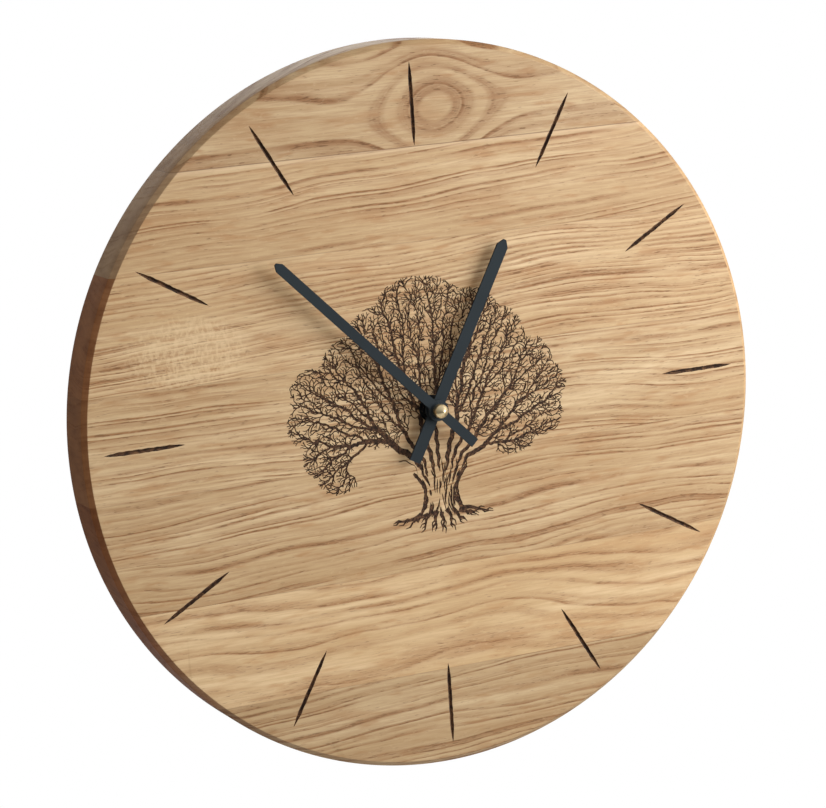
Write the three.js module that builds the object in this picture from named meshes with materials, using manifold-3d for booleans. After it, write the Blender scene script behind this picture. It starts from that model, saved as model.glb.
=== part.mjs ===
// Round wall clock of solid oak staves with a battery movement in a pocket in the back.
// Millimetres. +X is right, +Z is up and the dial faces -Y. The wall plane is y = 0.
// The origin is the point of the hanger that rests on the wall screw.
//
// Everything is first built in dial coordinates: u to the right, v up from the middle of the dial
// and w forward from the wall. The last step turns and lowers each piece into place.
import * as THREE from 'three';
import { ConvexGeometry } from 'three/addons/geometries/ConvexGeometry.js';
import { mergeVertices } from 'three/addons/utils/BufferGeometryUtils.js';
import Module from 'manifold-3d';

const wasm = await Module();
wasm.setup();

// ---------- driving dimensions ----------
const DIAL_RADIUS = 150;
const DIAL_THICKNESS = 20;
const FRONT_CHAMFER = 2;
const BACK_CHAMFER = 0.8;
const STAVE_JOINTS = [-DIAL_RADIUS, -110, -66.3, -20, 23, 69, 107.5, DIAL_RADIUS];
const STAVE_NAMES = [
  'stave_bottom',
  'stave_lower',
  'stave_low',
  'stave_centre',
  'stave_high',
  'stave_upper',
  'stave_top',
];

const MARK_INNER = 107.7;
const MARK_OUTER = 141.7;
const MARK_WIDTH = 1.6;
const MARK_DEPTH = 0.9;
const MARK_TAPER = 6;

const HOOK_RISE = 96;
const GAP = 0.3;

const POCKET_HALF = 29;
const WEB_BACK = 16.4;
const CASE_HALF = 28;
const CASE_WALL = 1.2;
const CASE_BACK = 0.6;
const COVER_FRONT = 1.8;
const CASE_FRONT = 15.8;
const CAVITY_FRONT = 14.6;
const BAY_FRONT = 15.05;
const BAY_TOP = -12.2;
const CAVITY_BOTTOM = -11.2;
const PLATE_BACK = 7.4;
const PLATE_FRONT = 8.2;
const BUSH_RADIUS = 3.9;
const BUSH_BORE = 2.8;
const BUSH_FRONT = 23.2;
const SUPPORTS = [[-24, -8], [24, -8], [-24, 24], [24, 24]];

const BATTERY_RADIUS = 7.1;
const BATTERY_V = -19.6;
const BATTERY_W = 7.65;

const MINUTE_ANGLE = 44.5;
const HOUR_ANGLE = -28.5;

const ARBOR_RADIUS = 0.4;
const CANNON_RADIUS = 1.6;
const HOUR_TUBE_RADIUS = 2.5;

// Module and tooth counts of the trains. Each pair shares one centre distance.
const MOTION = { cannon: 12, wheel: 36, pinion: 10, hour: 40, hourModule: 0.35 };
const MOTION_DISTANCE = (MOTION.pinion + MOTION.hour) / 2 * MOTION.hourModule;
const CANNON_MODULE = 2 * MOTION_DISTANCE / (MOTION.cannon + MOTION.wheel);
const THIRD_MODULE = 0.26;
const THIRD_DISTANCE = (8 + 60) / 2 * THIRD_MODULE;
const DRIVE_MODULE = 2 * THIRD_DISTANCE / (8 + 64);
const SECONDS_MODULE = 0.3;
const SECONDS_DISTANCE = (8 + 40) / 2 * SECONDS_MODULE;
const ROTOR_MODULE = 0.2;
const ROTOR_DISTANCE = (8 + 48) / 2 * ROTOR_MODULE;
const KNOB_TEETH = 10;
const KNOB_DISTANCE = (MOTION.wheel + KNOB_TEETH) / 2 * CANNON_MODULE;

const CENTRE = [0, 0];
const REVERSING = polar(CENTRE, MOTION_DISTANCE, 10);
const KNOB = polar(REVERSING, KNOB_DISTANCE, 50);
const THIRD = polar(CENTRE, THIRD_DISTANCE, 170);
const INTERMEDIATE = polar(CENTRE, SECONDS_DISTANCE, 100);
const ROTOR = polar(INTERMEDIATE, ROTOR_DISTANCE, 60);

// ---------- materials ----------
const MATERIALS = {
  oak: material(0xc3a37b, 0.6, 0),
  hand_black: material(0x2a3238, 0.7, 0),
  brass: material(0xd8b66a, 0.3, 0.9),
  case_black: material(0x17181a, 0.55, 0),
  cover_black: material(0x1d1e20, 0.6, 0),
  rubber: material(0x121212, 0.9, 0),
  black_steel: material(0x26282b, 0.45, 0.8),
  zinc: material(0xb9bcc0, 0.4, 0.9),
  gear_white: material(0xe9e6dc, 0.5, 0),
  gear_brown: material(0x9a6b3f, 0.5, 0),
  magnet: material(0x4a4c50, 0.4, 0.6),
  stator_steel: material(0x8f9296, 0.45, 0.8),
  copper: material(0xb5652f, 0.4, 0.8),
  board_green: material(0x1f5a38, 0.5, 0),
  chip_black: material(0x0d0d0e, 0.35, 0),
  spring_steel: material(0xc6c8ca, 0.35, 0.9),
  battery_sleeve: material(0x2f6f5b, 0.35, 0.2),
};

function material(color, roughness, metalness) {
  return new THREE.MeshStandardMaterial({ color, roughness, metalness });
}

// ---------- basic solids in dial coordinates ----------
function polar([u, v], distance, degrees) {
  const angle = THREE.MathUtils.degToRad(degrees);
  return [u + distance * Math.cos(angle), v + distance * Math.sin(angle)];
}

function solid(geometry) {
  const bare = new THREE.BufferGeometry();
  bare.setAttribute('position', geometry.getAttribute('position'));
  bare.setIndex(geometry.getIndex());
  const merged = mergeVertices(bare, 1e-5);
  const vertProperties = new Float32Array(merged.getAttribute('position').array);
  const triVerts = new Uint32Array(merged.getIndex().array);
  return new wasm.Manifold(new wasm.Mesh({ numProp: 3, vertProperties, triVerts }));
}

function box(u0, u1, v0, v1, w0, w1) {
  const geometry = new THREE.BoxGeometry(u1 - u0, v1 - v0, w1 - w0);
  geometry.translate((u0 + u1) / 2, (v0 + v1) / 2, (w0 + w1) / 2);
  return solid(geometry);
}

function disc([u, v], radius, w0, w1, segments = 24) {
  return turned([u, v], [[0, w0], [radius, w0], [radius, w1], [0, w1]], segments);
}

function ring(centre, outer, inner, w0, w1, segments = 24) {
  const profile = [[inner, w0], [outer, w0], [outer, w1], [inner, w1], [inner, w0]];
  return turned(centre, profile, segments);
}

// A turned solid about the w direction. The profile is a list of [radius, w], back to front.
function turned([u, v], profile, segments) {
  const points = profile.map(([r, w]) => new THREE.Vector2(r, w));
  const geometry = new THREE.LatheGeometry(points, segments);
  geometry.rotateX(Math.PI / 2);
  geometry.translate(u, v, 0);
  return solid(geometry);
}

// A turned solid about the u direction, for the battery and the coil.
function turnedAcross([v, w], profile, segments) {
  const points = profile.map(([r, u]) => new THREE.Vector2(r, u));
  const geometry = new THREE.LatheGeometry(points, segments);
  geometry.rotateZ(-Math.PI / 2);
  geometry.translate(0, v, w);
  return solid(geometry);
}

function prism(points, w0, w1) {
  const shape = new THREE.Shape(points.map(([u, v]) => new THREE.Vector2(u, v)));
  const geometry = new THREE.ExtrudeGeometry(shape, { depth: w1 - w0, bevelEnabled: false });
  geometry.translate(0, 0, w0);
  return solid(geometry);
}

function arc([u, v], radius, fromDegrees, toDegrees, steps) {
  const points = [];
  for (let i = 0; i <= steps; i += 1) {
    const degrees = fromDegrees + (toDegrees - fromDegrees) * i / steps;
    points.push(polar([u, v], radius, degrees));
  }
  return points;
}

function roundedRectangle(u0, u1, v0, v1, radius) {
  return [
    ...arc([u1 - radius, v0 + radius], radius, -90, 0, 4),
    ...arc([u1 - radius, v1 - radius], radius, 0, 90, 4),
    ...arc([u0 + radius, v1 - radius], radius, 90, 180, 4),
    ...arc([u0 + radius, v0 + radius], radius, 180, 270, 4),
  ];
}

// ---------- gears ----------
function gearPoints([u, v], teeth, module, phase) {
  const pitchRadius = teeth * module / 2;
  const rootRadius = pitchRadius - 0.95 * module;
  const tipRadius = pitchRadius + 0.85 * module;
  const rootHalf = 95 / teeth;
  const points = [];
  for (let i = 0; i < teeth; i += 1) {
    const middle = phase + i * 360 / teeth;
    points.push(polar([u, v], rootRadius, middle - rootHalf));
    points.push(polar([u, v], tipRadius, middle));
    points.push(polar([u, v], rootRadius, middle + rootHalf));
  }
  return points;
}

// The phase that puts a gap of the follower over a tooth of the driver.
function meshPhase(driver, driverTeeth, driverPhase, follower, followerTeeth) {
  const line = Math.atan2(follower[1] - driver[1], follower[0] - driver[0]) * 180 / Math.PI;
  const toothOffset = (driverPhase - line) * driverTeeth;
  return line + 180 - (toothOffset + 180) / followerTeeth;
}

const PHASE = {};
PHASE.cannon = 0;
PHASE.reversing = meshPhase(CENTRE, MOTION.cannon, PHASE.cannon, REVERSING, MOTION.wheel);
PHASE.hour = meshPhase(REVERSING, MOTION.pinion, 0, CENTRE, MOTION.hour);
PHASE.knob = meshPhase(REVERSING, MOTION.wheel, PHASE.reversing, KNOB, KNOB_TEETH);
PHASE.intermediate = meshPhase(ROTOR, 8, 0, INTERMEDIATE, 48);
PHASE.seconds = meshPhase(INTERMEDIATE, 8, 0, CENTRE, 40);
PHASE.third = meshPhase(CENTRE, 8, 0, THIRD, 60);
PHASE.drive = meshPhase(THIRD, 8, 0, CENTRE, 64);

// ---------- the assembly ----------
const group = new THREE.Group();
group.name = 'round_oak_wall_clock';

function add(name, slot, shape) {
  const mesh = shape.getMesh();
  const geometry = new THREE.BufferGeometry();
  geometry.setAttribute('position', new THREE.BufferAttribute(new Float32Array(mesh.vertProperties), 3));
  geometry.setIndex(new THREE.BufferAttribute(new Uint32Array(mesh.triVerts), 1));
  geometry.rotateX(Math.PI / 2);
  geometry.translate(0, 0, -HOOK_RISE);
  geometry.computeVertexNormals();
  const piece = new THREE.Mesh(geometry, MATERIALS[slot]);
  piece.name = name;
  group.add(piece);
}

// ---------- oak dial ----------
function dialBlank() {
  const profile = [
    [0, 0],
    [DIAL_RADIUS - BACK_CHAMFER, 0],
    [DIAL_RADIUS, BACK_CHAMFER],
    [DIAL_RADIUS, DIAL_THICKNESS - FRONT_CHAMFER],
    [DIAL_RADIUS - FRONT_CHAMFER, DIAL_THICKNESS],
    [0, DIAL_THICKNESS],
  ];
  return turned(CENTRE, profile, 120);
}

// A V-shaped groove, pointed at both ends, that opens in the dial's face.
function hourMark(degrees) {
  const keel = (MARK_OUTER - MARK_INNER) / 2 - MARK_TAPER;
  const middle = (MARK_OUTER + MARK_INNER) / 2;
  const above = 0.5;
  const spread = 1 + above / MARK_DEPTH;
  const top = DIAL_THICKNESS + above;
  const bottom = DIAL_THICKNESS - MARK_DEPTH;
  const halfWidth = MARK_WIDTH / 2 * spread;
  const points = [];
  for (const side of [-1, 1]) {
    points.push(new THREE.Vector3(0, middle + side * keel, bottom));
    points.push(new THREE.Vector3(0, middle + side * (keel + MARK_TAPER * spread), top));
    points.push(new THREE.Vector3(-halfWidth, middle + side * keel, top));
    points.push(new THREE.Vector3(halfWidth, middle + side * keel, top));
  }
  const geometry = new ConvexGeometry(points);
  geometry.rotateZ(THREE.MathUtils.degToRad(degrees));
  return solid(geometry);
}

const HANGER = { half: 8, bottom: 72.5, top: 105.5, back: 0.2, front: 1.7 };
const HANGER_SCREWS = [76.5, 101.5];
const KEYHOLE = { entryV: 85.5, entryRadius: 4.2, slotHalf: 2.25 };

function hangerRecess() {
  const outline = roundedRectangle(
    -HANGER.half - GAP,
    HANGER.half + GAP,
    HANGER.bottom - GAP,
    HANGER.top + GAP,
    4,
  );
  let recess = prism(outline, -1, HANGER.front);
  recess = recess.add(box(-5.2, 5.2, 80.5, 98.6, 0, 8));
  for (const v of HANGER_SCREWS) {
    recess = recess.add(disc([0, v], 1.6, 0, 12.5, 16));
  }
  return recess;
}

function buildDial() {
  let dial = dialBlank();
  dial = dial.subtract(box(-POCKET_HALF, POCKET_HALF, -POCKET_HALF, POCKET_HALF, -1, WEB_BACK));
  dial = dial.subtract(disc(CENTRE, BUSH_RADIUS + GAP, 10, 30, 32));
  dial = dial.subtract(hangerRecess());
  for (let hour = 0; hour < 12; hour += 1) {
    dial = dial.subtract(hourMark(hour * 30));
  }
  STAVE_NAMES.forEach((name, i) => {
    const slab = box(-200, 200, STAVE_JOINTS[i], STAVE_JOINTS[i + 1], -10, 40);
    add(name, 'oak', dial.intersect(slab));
  });
}

// ---------- hanger ----------
function buildHanger() {
  const outline = roundedRectangle(-HANGER.half, HANGER.half, HANGER.bottom, HANGER.top, 3.7);
  const slotTop = HOOK_RISE - KEYHOLE.slotHalf;
  let plate = prism(outline, HANGER.back, HANGER.front);
  plate = plate.subtract(disc([0, KEYHOLE.entryV], KEYHOLE.entryRadius, -1, 4, 32));
  plate = plate.subtract(box(-KEYHOLE.slotHalf, KEYHOLE.slotHalf, KEYHOLE.entryV, slotTop, -1, 4));
  plate = plate.subtract(disc([0, slotTop], KEYHOLE.slotHalf, -1, 4, 24));
  HANGER_SCREWS.forEach((v, i) => {
    plate = plate.subtract(turned([0, v], [[0, -1.1], [4.2, -1.1], [1.6, 1.5], [1.6, 4], [0, 4]], 16));
    const profile = [[0, 0.3], [2.5, 0.3], [1.25, 1.55], [1.25, 10.5], [0, 12.2]];
    let screw = turned([0, v], profile, 16);
    screw = screw.subtract(box(-1.5, 1.5, v - 0.3, v + 0.3, -1, 1));
    screw = screw.subtract(box(-0.3, 0.3, v - 1.5, v + 1.5, -1, 1));
    add(i === 0 ? 'hanger_screw_lower' : 'hanger_screw_upper', 'zinc', screw);
  });
  add('hanger_plate', 'zinc', plate);
}

// ---------- movement housing ----------
function buildFrontCase() {
  const outline = roundedRectangle(-CASE_HALF, CASE_HALF, -CASE_HALF, CASE_HALF, 3);
  const inner = CASE_HALF - CASE_WALL;
  let shell = prism(outline, CASE_BACK, CASE_FRONT);
  shell = shell.subtract(box(-40, 40, BAY_TOP, 40, -5, COVER_FRONT));
  shell = shell.subtract(box(-inner, inner, CAVITY_BOTTOM, inner, -5, CAVITY_FRONT));
  shell = shell.subtract(box(-inner, inner, -inner, BAY_TOP, -5, BAY_FRONT));
  shell = shell.subtract(box(-9, 9, -40, -20, -5, 6));
  for (const spot of SUPPORTS) {
    shell = shell.add(disc(spot, 1.6, PLATE_FRONT, CAVITY_FRONT + 0.4, 12));
  }
  shell = shell.add(disc(CENTRE, BUSH_RADIUS, CAVITY_FRONT, BUSH_FRONT, 24));
  shell = shell.subtract(disc(CENTRE, BUSH_BORE, 10, 30, 24));
  for (const spot of [REVERSING, KNOB, THIRD]) {
    shell = shell.subtract(disc(spot, ARBOR_RADIUS + GAP + (spot === KNOB ? 0.4 : 0), 14, 15.2, 16));
  }
  add('front_case', 'case_black', shell);
}

function buildRearCover() {
  const outline = roundedRectangle(-CASE_HALF, CASE_HALF, BAY_TOP, CASE_HALF, 3);
  let cover = prism(outline, CASE_BACK, COVER_FRONT);
  for (const spot of [ROTOR, INTERMEDIATE, CENTRE]) {
    cover = cover.add(disc(spot, 1.3, COVER_FRONT - 0.2, 2.6, 12));
    cover = cover.subtract(disc(spot, ARBOR_RADIUS + GAP, 1.2, 3, 10));
  }
  for (const spot of SUPPORTS) {
    cover = cover.add(disc(spot, 1.6, COVER_FRONT - 0.2, PLATE_BACK, 12));
  }
  cover = cover.subtract(disc(KNOB, 6.2, 0, 3, 32));
  add('rear_cover', 'cover_black', cover);
}

function buildTrainPlate() {
  const edge = CASE_HALF - CASE_WALL - GAP;
  let plate = box(-edge, edge, CAVITY_BOTTOM + GAP, edge, PLATE_BACK, PLATE_FRONT);
  for (const spot of [ROTOR, INTERMEDIATE, THIRD, REVERSING]) {
    plate = plate.subtract(disc(spot, ARBOR_RADIUS + GAP, 7, 9, 10));
  }
  plate = plate.subtract(disc(KNOB, 1.1, 7, 9, 20));
  plate = plate.subtract(disc(CENTRE, 1.7, 7, 9, 24));
  add('train_plate', 'gear_white', plate);
}

function buildFixings() {
  add('rubber_washer', 'rubber', ring(CENTRE, 9, BUSH_RADIUS + GAP, CASE_FRONT, WEB_BACK, 24));
  add('flat_washer', 'black_steel', ring(CENTRE, 5.6, BUSH_RADIUS + GAP, 20, 20.4, 24));
  const corners = arc(CENTRE, 5.4, 0, 300, 5);
  let nut = prism(corners, 20.4, 22.4);
  nut = nut.subtract(disc(CENTRE, BUSH_RADIUS + GAP, 19, 24, 24));
  add('hexagon_nut', 'black_steel', nut);
}

// ---------- motion work and hands ----------
function handPoints(tip, tail, width, shoulder) {
  const half = width / 2;
  return [
    [-half, -tail],
    [half, -tail],
    [half, tip - shoulder],
    [half * 0.25, tip],
    [-half * 0.25, tip],
    [-half, tip - shoulder],
  ];
}

function buildMinuteGroup() {
  const pinion = gearPoints(CENTRE, MOTION.cannon, CANNON_MODULE, PHASE.cannon);
  let cannon = disc(CENTRE, CANNON_RADIUS, 9.9, 30.5, 24);
  cannon = cannon.add(prism(pinion, 11.4, 12.5));
  cannon = cannon.subtract(disc(CENTRE, 0.8, 9, 14, 16));
  add('minute_cannon', 'brass', cannon);

  let hand = prism(handPoints(95, 22, 4.1, 2.3), 26.3, 27.1);
  hand = hand.rotate([0, 0, MINUTE_ANGLE]);
  hand = hand.add(disc(CENTRE, 4.4, 26.3, 27.1, 28));
  hand = hand.add(disc(CENTRE, 3.4, 26, 27.4, 24));
  hand = hand.subtract(disc(CENTRE, CANNON_RADIUS + GAP, 20, 30, 24));
  add('minute_hand', 'hand_black', hand);

  const profile = [[0, 27.4], [2.6, 27.4], [2.85, 27.7], [2.85, 30], [2.5, 30.7], [1.2, 31.9], [0, 32.4]];
  let cap = turned(CENTRE, profile, 28);
  cap = cap.subtract(disc(CENTRE, CANNON_RADIUS + GAP, 20, 30.8, 24));
  add('cap_nut', 'brass', cap);
}

function buildHourGroup() {
  const teeth = gearPoints(CENTRE, MOTION.hour, MOTION.hourModule, PHASE.hour);
  let wheel = prism(teeth, 13.1, 14.1);
  wheel = wheel.add(disc(CENTRE, HOUR_TUBE_RADIUS, 13.1, 25.1, 24));
  wheel = wheel.subtract(disc(CENTRE, CANNON_RADIUS + GAP, 10, 30, 24));
  add('hour_wheel', 'gear_white', wheel);

  let hand = prism(handPoints(75, 23, 5.1, 2.8), 23.9, 24.7);
  hand = hand.rotate([0, 0, HOUR_ANGLE]);
  hand = hand.add(disc(CENTRE, 4.6, 23.5, 24.7, 28));
  hand = hand.subtract(disc(CENTRE, HOUR_TUBE_RADIUS + GAP, 20, 30, 24));
  add('hour_hand', 'hand_black', hand);
}

// A wheel and its pinion on one arbor.
function train(centre, wheel, pinion, arborBack, arborFront) {
  let shape = disc(centre, ARBOR_RADIUS, arborBack, arborFront, 8);
  for (const { teeth, module, phase, w0, w1 } of [wheel, pinion]) {
    shape = shape.add(prism(gearPoints(centre, teeth, module, phase), w0, w1));
  }
  return shape;
}

function buildWheels() {
  const reversingWheel = { teeth: 36, module: CANNON_MODULE, phase: PHASE.reversing, w0: 11.6, w1: 12.3 };
  const reversingPinion = { teeth: 10, module: MOTION.hourModule, phase: 0, w0: 12.2, w1: 14.3 };
  add('reversing_wheel', 'gear_white', train(REVERSING, reversingWheel, reversingPinion, 7.6, 15));

  const thirdWheel = { teeth: 60, module: THIRD_MODULE, phase: PHASE.third, w0: 8.6, w1: 9.2 };
  const thirdPinion = { teeth: 8, module: DRIVE_MODULE, phase: 0, w0: 9.1, w1: 11.1 };
  add('third_wheel', 'gear_brown', train(THIRD, thirdWheel, thirdPinion, 7.6, 15));

  const secondsWheel = { teeth: 40, module: SECONDS_MODULE, phase: PHASE.seconds, w0: 6.3, w1: 7 };
  const secondsPinion = { teeth: 8, module: THIRD_MODULE, phase: 0, w0: 6.9, w1: 9.5 };
  add('seconds_wheel', 'gear_white', train(CENTRE, secondsWheel, secondsPinion, 1.5, 13.5));

  const middleWheel = { teeth: 48, module: ROTOR_MODULE, phase: PHASE.intermediate, w0: 4.7, w1: 5.3 };
  const middlePinion = { teeth: 8, module: SECONDS_MODULE, phase: 0, w0: 5.2, w1: 7.1 };
  add('intermediate_wheel', 'gear_brown', train(INTERMEDIATE, middleWheel, middlePinion, 1.5, 8));

  let drive = prism(gearPoints(CENTRE, 64, DRIVE_MODULE, PHASE.drive), 10.2, 10.9);
  drive = drive.subtract(disc(CENTRE, CANNON_RADIUS + GAP, 9, 12, 24));
  add('drive_wheel', 'gear_brown', drive);
}

function buildRotor() {
  let pinion = disc(ROTOR, ARBOR_RADIUS, 1.5, 8, 8);
  pinion = pinion.add(prism(gearPoints(ROTOR, 8, ROTOR_MODULE, 0), 4.4, 5.7));
  add('rotor_pinion', 'gear_white', pinion);
  add('rotor_magnet', 'magnet', ring(ROTOR, 2.6, ARBOR_RADIUS + GAP, 2.9, 4.4, 20));
}

function buildSetKnob() {
  const grip = gearPoints(KNOB, 20, 0.54, 0);
  let knob = prism(grip, 0.9, 2.7);
  knob = knob.add(disc(KNOB, 0.8, 2, 15, 16));
  knob = knob.add(prism(gearPoints(KNOB, KNOB_TEETH, CANNON_MODULE, PHASE.knob), 11.5, 12.5));
  knob = knob.subtract(box(KNOB[0] - 4, KNOB[0] + 4, KNOB[1] - 0.6, KNOB[1] + 0.6, 0, 1.5));
  add('set_knob', 'gear_white', knob);
}

// ---------- motor and electronics ----------
const COIL_V = 21.5;
const CORE_W0 = 4;
const CORE_W1 = 4.8;

function bar([u0, v0], [u1, v1], half, w0, w1) {
  const length = Math.hypot(u1 - u0, v1 - v0);
  const nu = -(v1 - v0) / length * half;
  const nv = (u1 - u0) / length * half;
  return prism([[u0 - nu, v0 - nv], [u1 - nu, v1 - nv], [u1 + nu, v1 + nv], [u0 + nu, v0 + nv]], w0, w1);
}

function buildMotor() {
  const ends = [[-10.5, COIL_V], [13.5, COIL_V]];
  let stator = disc(ROTOR, 4.9, 3.2, CORE_W0, 28);
  for (const end of ends) {
    const elbow = [end[0], ROTOR[1]];
    stator = stator.add(bar(ROTOR, elbow, 1.6, 3.2, CORE_W0));
    stator = stator.add(bar(elbow, end, 1.6, 3.2, CORE_W0));
    stator = stator.add(disc(elbow, 1.6, 3.2, CORE_W0, 16));
    stator = stator.add(disc(end, 1.6, 3.2, CORE_W0, 16));
  }
  stator = stator.subtract(disc(ROTOR, 3.2, 0, 9, 24));
  add('stator', 'stator_steel', stator);

  add('coil_core', 'stator_steel', box(-12, 15, COIL_V - 1.4, COIL_V + 1.4, CORE_W0, CORE_W1));

  const middleW = (CORE_W0 + CORE_W1) / 2;
  let bobbin = box(-7, 10, COIL_V - 2, COIL_V + 2, middleW - 1, middleW + 1);
  for (const u of [-7, 9.2]) {
    bobbin = bobbin.add(box(u, u + 0.8, COIL_V - 4, COIL_V + 4, 4.05, 7));
    bobbin = bobbin.add(box(u, u + 0.8, COIL_V + 1.7, COIL_V + 4, 2.1, 7));
  }
  bobbin = bobbin.subtract(box(-20, 20, COIL_V - 1.7, COIL_V + 1.7, CORE_W0 - GAP, CORE_W1 + GAP));
  add('coil_bobbin', 'cover_black', bobbin);

  let winding = turnedAcross([COIL_V, middleW], [[0, -6.1], [3.5, -6.1], [3.5, 9.1], [0, 9.1]], 28);
  winding = winding.intersect(box(-10, 12, COIL_V - 4, COIL_V + 4, 2, 7));
  winding = winding.subtract(box(-20, 20, COIL_V - 2.3, COIL_V + 2.3, middleW - 1.3, middleW + 1.3));
  add('coil_winding', 'copper', winding);
}

function buildElectronics() {
  let board = box(-25.5, -13, -5, 19, 3, 4);
  board = board.subtract(disc([-23, 16.5], 1.2, 0, 9, 20));
  add('circuit_board', 'board_green', board);
  add('control_chip', 'chip_black', turned([-18.5, 4], [[0, 4], [3, 4], [2.4, 4.8], [0, 5.1]], 28));
  const can = new THREE.CylinderGeometry(1, 1, 6, 20);
  can.translate(-18.5, 12, 5);
  add('crystal_can', 'spring_steel', solid(can));
}

function buildContacts() {
  const inner = CASE_HALF - CASE_WALL;
  const low = BATTERY_V - 4;
  const high = BATTERY_V + 4;
  let plus = box(inner - 0.5, inner, low, high, 3, 13);
  plus = plus.add(box(inner - 0.9, inner - 0.4, BATTERY_V - 2, BATTERY_V + 2, 5.5, 10));
  add('positive_contact', 'spring_steel', plus);

  const cup = [[0, -inner], [3.6, -inner], [3.6, -inner + 0.5], [2.4, -inner + 1.9], [0, -inner + 1.9]];
  let minus = box(-inner, -inner + 0.5, low, high, 3, 13);
  minus = minus.add(turnedAcross([BATTERY_V, BATTERY_W], cup, 28));
  add('negative_contact', 'spring_steel', minus);
}

function buildBattery() {
  const at = [BATTERY_V, BATTERY_W];
  const r = BATTERY_RADIUS;
  const tube = [[0, -24.6], [r - 0.5, -24.6], [r, -24.1], [r, 23.9], [r - 0.5, 24.4], [0, 24.4]];
  add('battery', 'battery_sleeve', turnedAcross(at, tube, 28));
  const nub = [[0, 24.4], [2.7, 24.4], [2.7, 25.1], [2.4, 25.4], [0, 25.4]];
  add('battery_cap', 'spring_steel', turnedAcross(at, nub, 24));
}

buildDial();
buildHanger();
buildFrontCase();
buildRearCover();
buildTrainPlate();
buildFixings();
buildMinuteGroup();
buildHourGroup();
buildWheels();
buildRotor();
buildSetKnob();
buildMotor();
buildElectronics();
buildContacts();
buildBattery();

export default group;
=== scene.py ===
"""A round oak wall clock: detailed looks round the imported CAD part.

Dial coordinates: u right, v up from the middle of the dial, w forward from the wall, in millimetres.
In the row frame that is x = u, y = -w, z = v - HOOK_RISE, in metres.
"""

import math
import random

import bmesh
import bpy
import numpy as np
from mathutils import Matrix, Vector
from mathutils.geometry import delaunay_2d_cdt


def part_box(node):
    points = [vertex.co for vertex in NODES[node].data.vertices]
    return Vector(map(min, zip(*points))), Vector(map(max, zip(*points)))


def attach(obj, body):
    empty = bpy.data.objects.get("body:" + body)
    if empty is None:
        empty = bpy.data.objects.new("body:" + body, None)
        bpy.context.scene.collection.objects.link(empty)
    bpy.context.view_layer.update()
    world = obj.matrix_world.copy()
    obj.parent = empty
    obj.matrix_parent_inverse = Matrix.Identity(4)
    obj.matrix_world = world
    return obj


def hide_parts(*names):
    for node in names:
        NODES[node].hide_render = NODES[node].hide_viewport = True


MM = 0.001
HOOK_RISE = 96.0
RADIUS = 150.0
THICK = 20.0
FRONT_CHAMFER = 2.0
BACK_CHAMFER = 0.8
BODY = "clock_body"

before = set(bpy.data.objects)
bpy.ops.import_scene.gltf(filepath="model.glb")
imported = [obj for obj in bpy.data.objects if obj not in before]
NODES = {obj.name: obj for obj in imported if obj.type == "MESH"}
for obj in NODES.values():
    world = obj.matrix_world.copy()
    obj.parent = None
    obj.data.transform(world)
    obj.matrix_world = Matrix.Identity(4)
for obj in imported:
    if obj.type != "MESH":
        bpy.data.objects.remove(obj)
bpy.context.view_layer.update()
scene = bpy.context.scene


# ---------------------------------------------------------------- shader helpers
RANGE_SOCKETS = ("From Min", "From Max", "To Min", "To Max")


class Shader:
    """A node tree under construction, with short calls for the nodes used here."""

    def __init__(self, name):
        self.material = bpy.data.materials.new(name)
        self.material.use_nodes = True
        self.tree = self.material.node_tree
        self.bsdf = self.tree.nodes["Principled BSDF"]
        self._place = None

    def put(self, socket, value):
        """Links another node's output to the socket, or sets its number, colour or vector."""
        if hasattr(value, "node"):
            self.tree.links.new(value, socket)
        else:
            socket.default_value = value

    def add(self, kind, inputs, **settings):
        """The outputs of a new node, made with its settings and its inputs by name or number."""
        node = self.tree.nodes.new("ShaderNode" + kind)
        for key, value in settings.items():
            setattr(node, key, value)
        for key, value in inputs.items():
            if value is not None:
                self.put(node.inputs[key], value)
        return node.outputs

    def set(self, **values):
        for key, value in values.items():
            self.put(self.bsdf.inputs[key.replace("_", " ")], value)

    def place(self):
        if self._place is None:
            self._place = self.add("TexCoord", {})["Object"]
        return self._place

    def split(self, vector):
        return self.add("SeparateXYZ", {0: vector})

    def join(self, x, y, z):
        return self.add("CombineXYZ", {0: x, 1: y, 2: z})[0]

    def math(self, operation, a, b=None, c=None):
        return self.add("Math", {0: a, 1: b, 2: c}, operation=operation)[0]

    def times(self, a, b):
        return self.math("MULTIPLY", a, b)

    def plus(self, a, b):
        return self.math("ADD", a, b)

    def minus(self, a, b):
        return self.math("SUBTRACT", a, b)

    def noise(self, vector, scale, detail, roughness, distortion=0.0):
        return self.add("TexNoise", {"Vector": vector, "Scale": scale, "Detail": detail,
                                     "Roughness": roughness, "Distortion": distortion})["Fac"]

    def noise_line(self, value, scale, detail=2.0, roughness=0.5):
        return self.add("TexNoise", {"W": value, "Scale": scale, "Detail": detail, "Roughness": roughness},
                        noise_dimensions="1D")["Fac"]

    def scaled(self, vector, x, y, z, offset=(0.0, 0.0, 0.0)):
        return self.add("Mapping", {"Vector": vector, "Scale": (x, y, z), "Location": offset})[0]

    def steps(self, value, low, high, out_low=0.0, out_high=1.0):
        """A smooth step from out_low to out_high as the value goes from low to high."""
        numbers = dict(zip(RANGE_SOCKETS, (low, high, out_low, out_high)))
        return self.add("MapRange", {"Value": value, **numbers}, interpolation_type="SMOOTHSTEP")[0]

    def mix(self, factor, a, b, blend="MIX"):
        colours = self.add("Mix", {"Factor": factor, "A": a, "B": b}, data_type="RGBA", blend_type=blend)
        return colours["Result"]

    def bump(self, height, strength, distance):
        self.set(Normal=self.add("Bump", {"Height": height, "Strength": strength, "Distance": distance})[0])


def srgb(red, green, blue):
    """A colour given as 0 to 255 display values."""

    def channel(value):
        value /= 255.0
        return value / 12.92 if value <= 0.04045 else ((value + 0.055) / 1.055) ** 2.4

    return (channel(red), channel(green), channel(blue), 1.0)


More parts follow.
